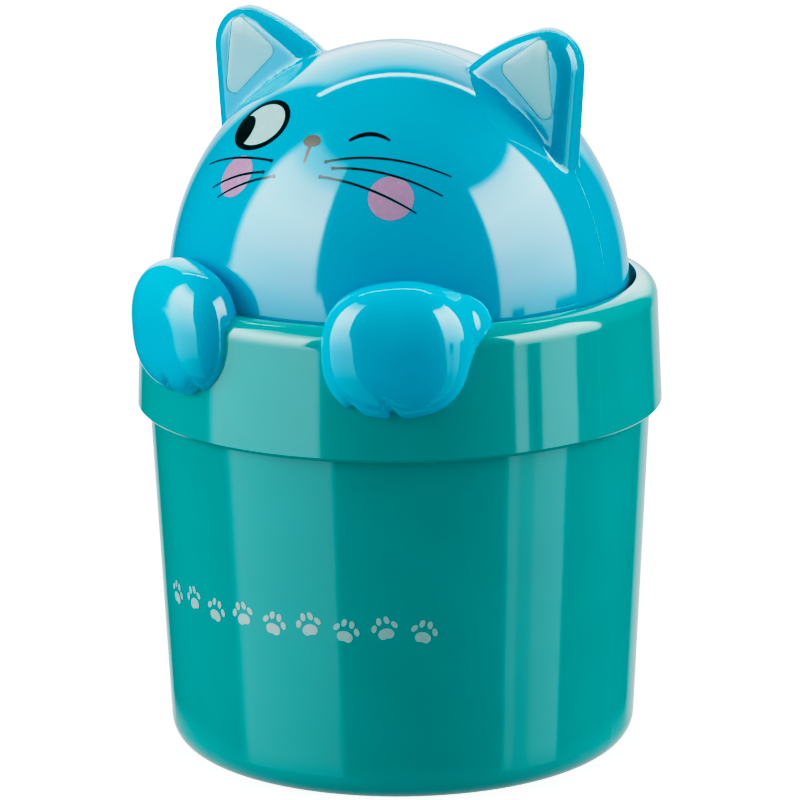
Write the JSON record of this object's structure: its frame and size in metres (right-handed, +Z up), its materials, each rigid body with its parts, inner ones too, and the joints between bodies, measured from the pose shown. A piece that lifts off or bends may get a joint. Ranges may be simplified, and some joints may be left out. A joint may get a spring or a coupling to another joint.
{
  "type": "desk-top waste bin with swing lid",
  "caption": "Small round desk bin with a tapered bucket, a lift-off collar with two paws over its rim, and a cat's-head lid that swings on pins.",
  "frame": {"origin": "centre of the bucket's flat underside, on the surface it stands on", "axes": "+Z up along the bucket's axis, -Y towards the side the cat's face looks, +X along the swing axis to the right seen from the front"},
  "size_m": [0.13, 0.1317, 0.182],
  "materials": {
    "teal_plastic": "gloss",
    "blue_plastic": "gloss",
    "mint_plastic": "satin",
    "white_plastic": "satin",
    "steel": "satin"
  },
  "bodies": {
    "bucket": {"bucket": "teal_plastic"},
    "lid_ring": {"collar": "teal_plastic", "pivot_pin_left": "steel", "pivot_pin_right": "steel", "paw_left": "blue_plastic", "paw_right": "blue_plastic", "paw_screws": "steel"},
    "head": {"head_front_shell": "blue_plastic", "head_rear_shell": "blue_plastic", "ear_inlay_left": "mint_plastic", "ear_inlay_right": "mint_plastic", "pivot_bush_left": "white_plastic", "pivot_bush_right": "white_plastic", "weight_hanger_left": "white_plastic", "weight_hanger_right": "white_plastic", "weight_left": "steel", "weight_right": "steel", "hanger_screws": "steel", "shell_screws": "steel"}
  },
  "joints": [
    {"name": "collar_lift", "type": "slide", "parent": "bucket", "child": "lid_ring", "axis": [0, 0, 1], "range_m": [0, 0.06]},
    {"name": "head_swing", "type": "hinge", "parent": "lid_ring", "child": "head", "pos_m": [0, 0, 0.1156], "axis": [1, 0, 0], "range_deg": [-40, 40]}
  ]
}
